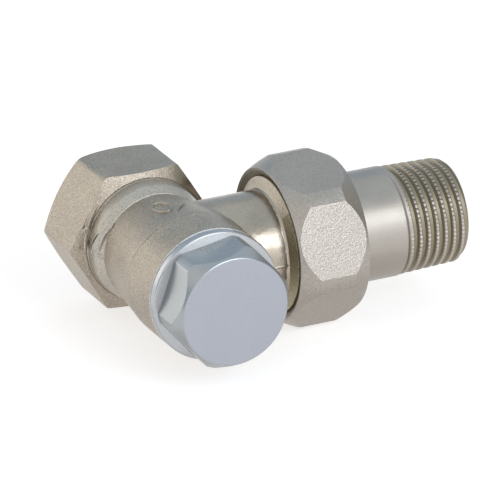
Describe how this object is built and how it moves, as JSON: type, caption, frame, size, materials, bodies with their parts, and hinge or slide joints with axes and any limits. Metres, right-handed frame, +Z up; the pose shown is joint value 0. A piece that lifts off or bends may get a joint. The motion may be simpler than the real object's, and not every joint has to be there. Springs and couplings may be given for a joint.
{
  "type": "lockshield valve",
  "caption": "Angled radiator lockshield valve: hexagonal threaded inlet, flanged hexagonal cap, and a union nut with a threaded tail. Lies on its side.",
  "frame": {"origin": "centre of the inlet's mouth, on the axis of its thread", "axes": "+Y out of the inlet's mouth, so the cap faces -Y; +X out of the tail towards the radiator; +Z up, square to both axes, with the valve lying on its side"},
  "size_m": [0.0732, 0.0564, 0.0328],
  "materials": {
    "nickel_forging": "nickel-plated forging, fine grain",
    "nickel_bar": "nickel-plated hexagon bar, satin",
    "nickel_turned": "nickel-plated, turned, bright",
    "cap_chrome": "matt chrome over metal",
    "plain_brass": "machined, bare",
    "seal_rubber": "smooth black",
    "spring_steel": "plain"
  },
  "bodies": {
    "body": {"valve_body": "nickel_forging", "bonnet": "plain_brass", "bonnet_o_ring": "seal_rubber", "retaining_ring": "spring_steel"},
    "spindle_lift": {"spindle_o_ring_lower": "seal_rubber", "spindle_o_ring_upper": "seal_rubber"},
    "spindle": {"regulating_spindle": "plain_brass", "seat_seal": "seal_rubber", "throttle_plug": "plain_brass"},
    "memory_lift": {"memory_o_ring": "seal_rubber"},
    "memory": {"memory_screw": "plain_brass"},
    "cap_lift": {"cap_o_ring": "seal_rubber"},
    "cap": {"lockshield_cap": "cap_chrome"},
    "union_travel": {"tailpiece_o_ring": "seal_rubber"},
    "union_nut_body": {"union_nut": "nickel_bar"},
    "tail": {"tailpiece": "nickel_turned"}
  },
  "joints": [
    {"name": "spindle_rise", "type": "slide", "parent": "body", "child": "spindle_lift", "axis": [0, -1, 0], "range_m": [0, 0.0035]},
    {"name": "spindle_turn", "type": "hinge", "parent": "spindle_lift", "child": "spindle", "pos_m": [0, -0.029, 0], "axis": [0, -1, 0], "range_deg": [0, 1260]},
    {"name": "memory_rise", "type": "slide", "parent": "body", "child": "memory_lift", "axis": [0, -1, 0], "range_m": [-0.0035, 0]},
    {"name": "memory_turn", "type": "hinge", "parent": "memory_lift", "child": "memory", "pos_m": [0, -0.029, 0], "axis": [0, -1, 0], "range_deg": [-1260, 0]},
    {"name": "cap_rise", "type": "slide", "parent": "body", "child": "cap_lift", "axis": [0, -1, 0], "range_m": [0, 0.007]},
    {"name": "cap_turn", "type": "hinge", "parent": "cap_lift", "child": "cap", "pos_m": [0, -0.029, 0], "axis": [0, -1, 0], "range_deg": [0, 2520]},
    {"name": "union_slide", "type": "slide", "parent": "body", "child": "union_travel", "axis": [1, 0, 0], "range_m": [0, 0.0082]},
    {"name": "union_nut_turn", "type": "hinge", "parent": "union_travel", "child": "union_nut_body", "pos_m": [0, -0.029, 0], "axis": [1, 0, 0], "range_deg": [0, 1620]},
    {"name": "tail_swivel", "type": "hinge", "parent": "union_travel", "child": "tail", "pos_m": [0, -0.029, 0], "axis": [1, 0, 0], "continuous": true}
  ],
  "couplings": [
    {"joint": "spindle_rise", "follows": "spindle_turn", "m_per_rad": 0.00015915},
    {"joint": "memory_rise", "follows": "memory_turn", "m_per_rad": 0.00015915},
    {"joint": "cap_rise", "follows": "cap_turn", "m_per_rad": 0.00015915},
    {"joint": "union_slide", "follows": "union_nut_turn", "m_per_rad": 0.00028875}
  ]
}
